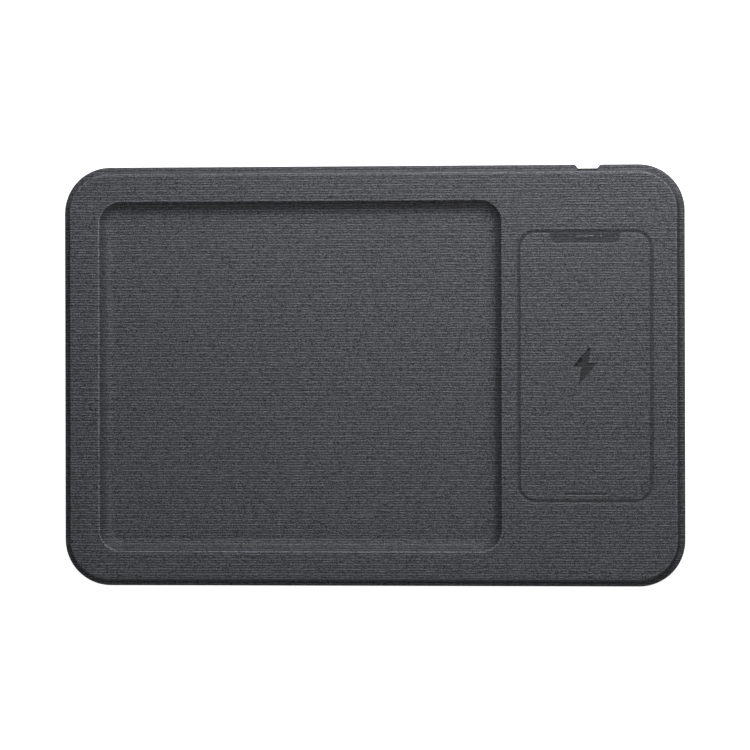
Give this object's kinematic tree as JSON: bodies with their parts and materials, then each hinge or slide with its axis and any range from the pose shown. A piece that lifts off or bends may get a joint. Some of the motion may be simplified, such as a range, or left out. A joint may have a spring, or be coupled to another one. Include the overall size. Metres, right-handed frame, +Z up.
{
  "type": "desk tray with wireless charging pad",
  "caption": "Flat leather-covered desk tray with a shallow recess for small things and a wireless charging place marked by a pressed phone outline.",
  "frame": {"origin": "on the desk under the middle of the tray", "axes": "+X to the charging side along the long side, +Y to the rear edge with the USB-C inlet, +Z up"},
  "size_m": [0.332, 0.224, 0.012],
  "materials": {
    "skin_leather": "matte",
    "core_foam": "matte",
    "base_fibreboard": "matte",
    "filler_card": "matte",
    "foot_silicone": "matte",
    "mounting_foam": "matte",
    "case_plastic": "matte",
    "bezel_plastic": "matte",
    "screw_steel": "satin",
    "connector_steel": "satin",
    "connector_plastic": "matte",
    "contact_gold": "polished",
    "seat_plastic": "matte",
    "ferrite": "matte",
    "adhesive_film": "matte",
    "enamelled_copper": "satin",
    "sensor_epoxy": "gloss",
    "thermal_silicone": "matte",
    "board_laminate": "satin",
    "chip_epoxy": "matte",
    "capacitor_ceramic": "matte",
    "resistor_ceramic": "matte",
    "capacitor_polymer": "matte",
    "inductor_ferrite": "matte",
    "crystal_can": "satin"
  },
  "bodies": {
    "root": {"base_board": "base_fibreboard", "base_cover": "skin_leather", "board_screws": "screw_steel", "bulk_capacitors": "capacitor_polymer", "case_screws": "screw_steel", "charger_case_base": "case_plastic", "charger_case_lid": "case_plastic", "charging_coil": "enamelled_copper", "chip_capacitors": "capacitor_ceramic", "chip_resistors": "resistor_ceramic", "circuit_board": "board_laminate", "coil_carrier": "seat_plastic", "coil_leads": "enamelled_copper", "control_chip": "chip_epoxy", "crystal": "crystal_can", "ferrite_adhesive": "adhesive_film", "ferrite_shield": "ferrite", "filler_card": "filler_card", "foot_front_left": "foot_silicone", "foot_front_middle": "foot_silicone", "foot_front_right": "foot_silicone", "foot_rear_left": "foot_silicone", "foot_rear_middle": "foot_silicone", "foot_rear_right": "foot_silicone", "mounting_tape": "mounting_foam", "port_bezel": "bezel_plastic", "power_chips": "chip_epoxy", "power_inductor": "inductor_ferrite", "resonant_capacitors": "capacitor_ceramic", "thermal_pad": "thermal_silicone", "thermistor": "sensor_epoxy", "thermistor_leads": "enamelled_copper", "top_cover": "skin_leather", "tray_core": "core_foam", "usb_c_contacts": "contact_gold", "usb_c_shell": "connector_steel", "usb_c_tongue": "connector_plastic"}
  },
  "joints": []
}
